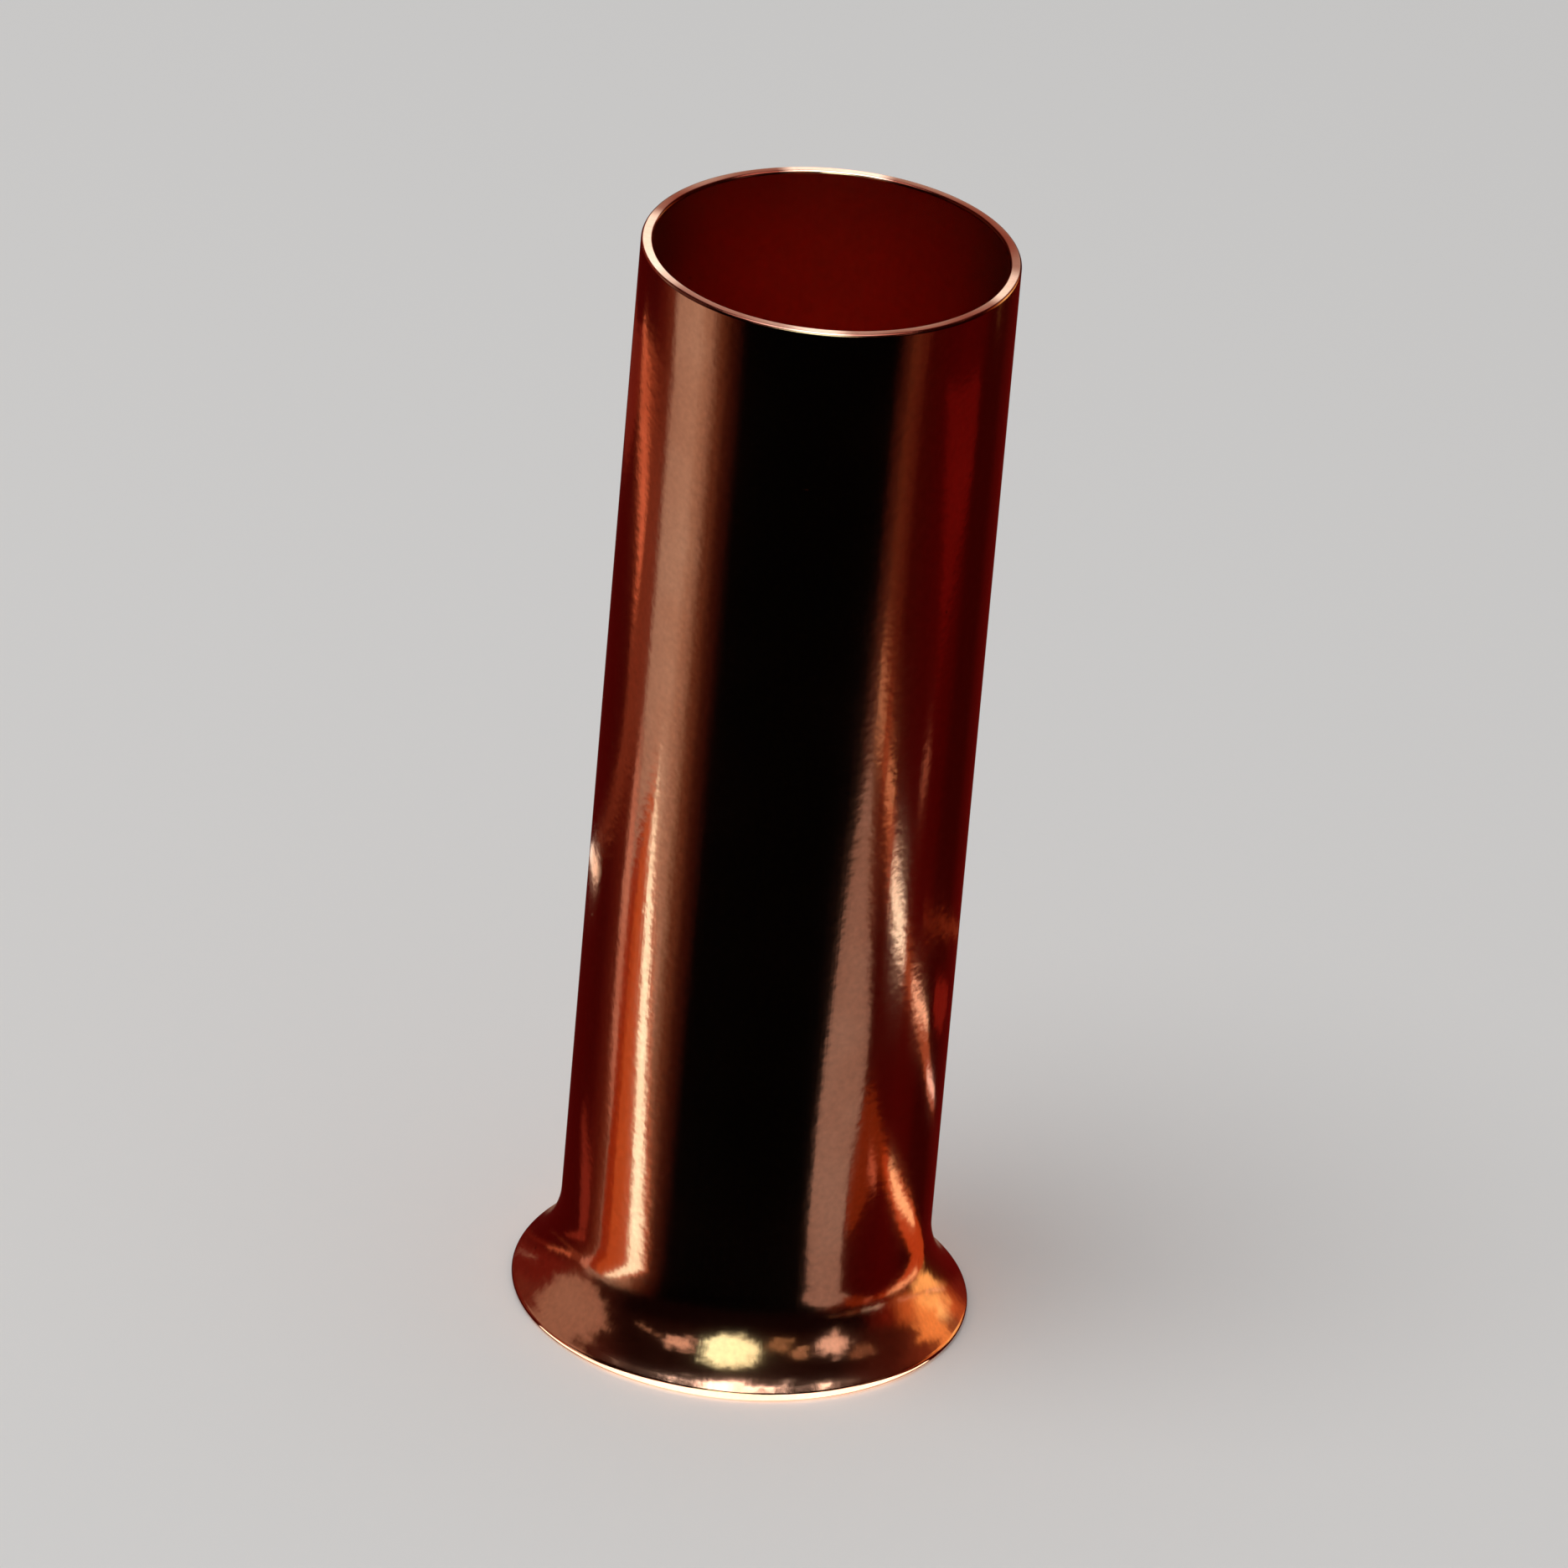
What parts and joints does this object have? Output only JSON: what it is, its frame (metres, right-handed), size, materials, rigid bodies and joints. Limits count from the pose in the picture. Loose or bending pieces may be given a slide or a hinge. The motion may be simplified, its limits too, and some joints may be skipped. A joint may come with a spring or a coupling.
{
  "type": "wire ferrule",
  "caption": "Bare copper wire ferrule: a thin seamless sleeve, open right through, with a flared trumpet mouth for the wire and a square-cut end.",
  "frame": {"origin": "centre of the flat land on the flared mouth's rim, which the ferrule stands on", "axes": "+Z along the sleeve's axis, from the flared mouth to the cut end"},
  "size_m": [0.006, 0.006, 0.015],
  "materials": {
    "polished_copper": "plain bare copper, bright drawn and annealed, with a fine orange-peel grain"
  },
  "bodies": {
    "root": {"ferrule_sleeve": "polished_copper"}
  },
  "joints": []
}
